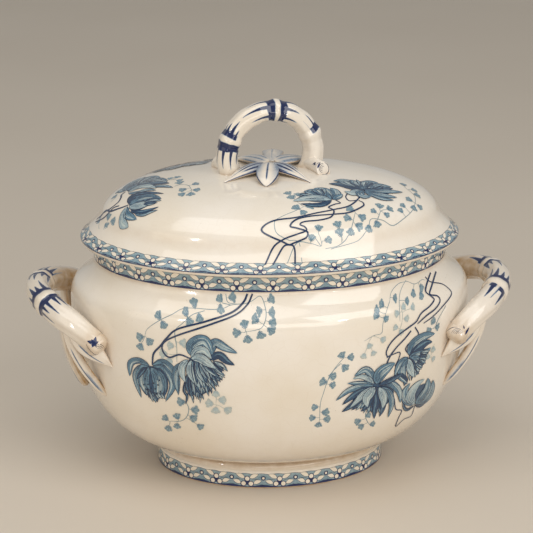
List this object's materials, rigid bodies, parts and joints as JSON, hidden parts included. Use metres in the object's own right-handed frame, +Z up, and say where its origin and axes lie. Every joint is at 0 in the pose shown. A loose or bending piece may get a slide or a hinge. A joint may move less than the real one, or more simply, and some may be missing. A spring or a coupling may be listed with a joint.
{
  "type": "soup tureen",
  "caption": "Oval earthenware soup tureen on a foot ring, with branch-like side handles, applied leaves and a domed lift-off lid with a loop handle.",
  "frame": {"origin": "centre of the foot's underside, on the surface the tureen stands on", "axes": "+X along the oval to the right-hand handle, -Y to the front, +Z up"},
  "size_m": [0.365, 0.224, 0.2802],
  "materials": {
    "ivory_glaze": "glossy",
    "blue_painted_glaze": "glossy"
  },
  "bodies": {
    "tureen": {"bowl": "ivory_glaze", "foot_ring": "ivory_glaze", "left_handle": "ivory_glaze", "left_front_stub": "ivory_glaze", "left_rear_stub": "ivory_glaze", "left_front_leaf": "blue_painted_glaze", "left_rear_leaf": "blue_painted_glaze", "left_front_frond": "blue_painted_glaze", "left_rear_frond": "blue_painted_glaze", "left_front_bud": "blue_painted_glaze", "left_rear_bud": "blue_painted_glaze", "right_handle": "ivory_glaze", "right_front_stub": "ivory_glaze", "right_rear_stub": "ivory_glaze", "right_front_leaf": "blue_painted_glaze", "right_rear_leaf": "blue_painted_glaze", "right_front_frond": "blue_painted_glaze", "right_rear_frond": "blue_painted_glaze", "right_front_bud": "blue_painted_glaze", "right_rear_bud": "blue_painted_glaze"},
    "lid": {"lid_dome": "ivory_glaze", "lid_locating_ring": "ivory_glaze", "lid_handle": "ivory_glaze", "lid_front_leaf": "blue_painted_glaze", "lid_rear_leaf": "blue_painted_glaze", "lid_left_stub": "ivory_glaze", "lid_right_stub": "ivory_glaze"}
  },
  "joints": [
    {"name": "lid_lift", "type": "slide", "parent": "tureen", "child": "lid", "axis": [0, 0, 1], "range_m": [0, 0.14]}
  ]
}
